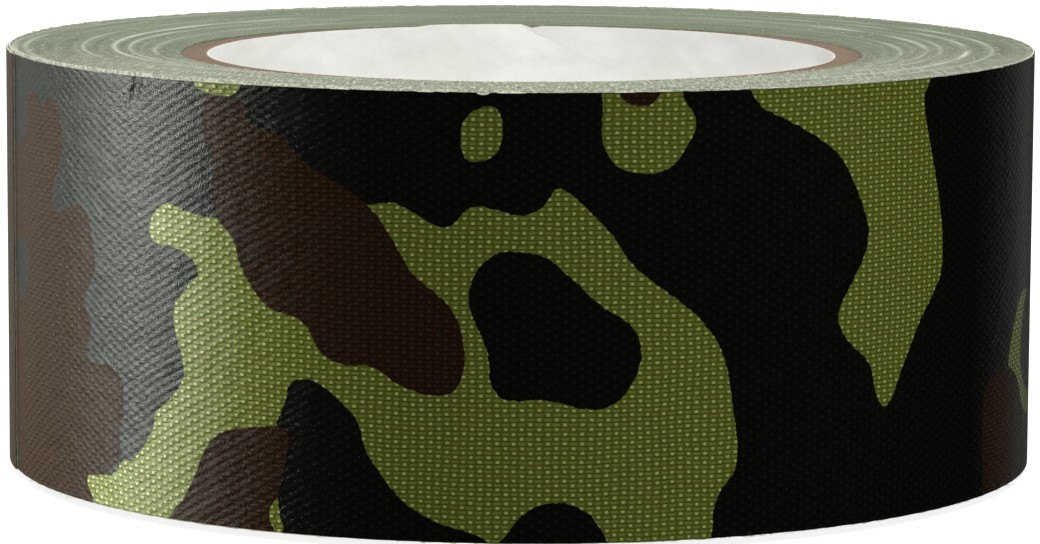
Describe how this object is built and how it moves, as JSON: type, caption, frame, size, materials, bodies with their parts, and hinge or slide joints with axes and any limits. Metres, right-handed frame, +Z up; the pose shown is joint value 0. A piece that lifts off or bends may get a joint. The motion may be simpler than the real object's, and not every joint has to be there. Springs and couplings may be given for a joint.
{
  "type": "duct tape roll",
  "caption": "Roll of cloth duct tape in a camouflage print on a spirally wound paperboard core, with a free end that lifts.",
  "frame": {"origin": "on the roll's axis at the lower end face of the core, with the roll lying flat", "axes": "+Z up along the roll's axis, -Y towards the front, +X to the right seen from the front"},
  "size_m": [0.1248, 0.1247, 0.051],
  "materials": {
    "white_paper": "matte",
    "brown_board": "matte",
    "kraft_paper": "matte",
    "wound_tape": "matte",
    "printed_film": "satin",
    "scrim": "matte",
    "adhesive": "matte"
  },
  "bodies": {
    "roll": {"core_liner": "white_paper", "core_board_ply_1": "brown_board", "core_board_ply_2": "brown_board", "core_board_ply_3": "brown_board", "core_board_ply_4": "brown_board", "core_outer_ply": "kraft_paper", "wound_turns": "wound_tape", "outer_turn_film": "printed_film", "outer_turn_scrim": "scrim", "outer_turn_adhesive": "adhesive"},
    "tape_end": {"end_flap_film": "printed_film", "end_flap_scrim": "scrim", "end_flap_adhesive": "adhesive"}
  },
  "joints": [
    {"name": "end_peel", "type": "hinge", "parent": "roll", "child": "tape_end", "pos_m": [-0.06112, 0.01294, 0.026], "axis": [0, 0, -1], "range_deg": [0, 90]}
  ]
}
